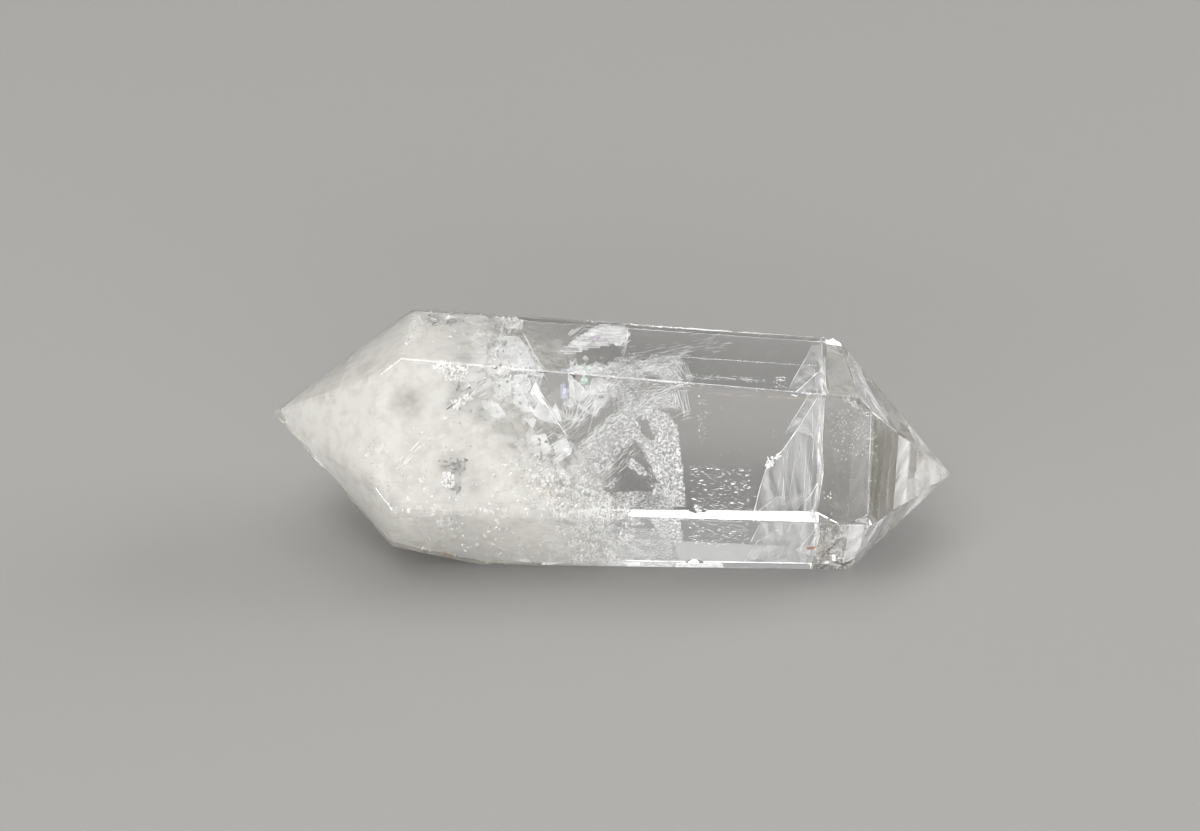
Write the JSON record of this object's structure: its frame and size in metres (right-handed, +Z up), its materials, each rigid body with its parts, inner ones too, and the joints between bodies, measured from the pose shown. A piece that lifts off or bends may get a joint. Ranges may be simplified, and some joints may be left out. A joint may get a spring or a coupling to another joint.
{
  "type": "double terminated quartz crystal",
  "caption": "Polished clear quartz crystal: a tapering six-sided prism with a faceted point at each end, lying on one long face.",
  "frame": {"origin": "on the floor, under the middle of the crystal's box", "axes": "+X along the crystal from the milky tip to the clear tip, +Z up, the viewer stands at -Y"},
  "size_m": [0.0756, 0.0272, 0.0253],
  "materials": {
    "quartz": "polished, clear with milky inclusions"
  },
  "bodies": {
    "root": {"crystal": "quartz"}
  },
  "joints": []
}
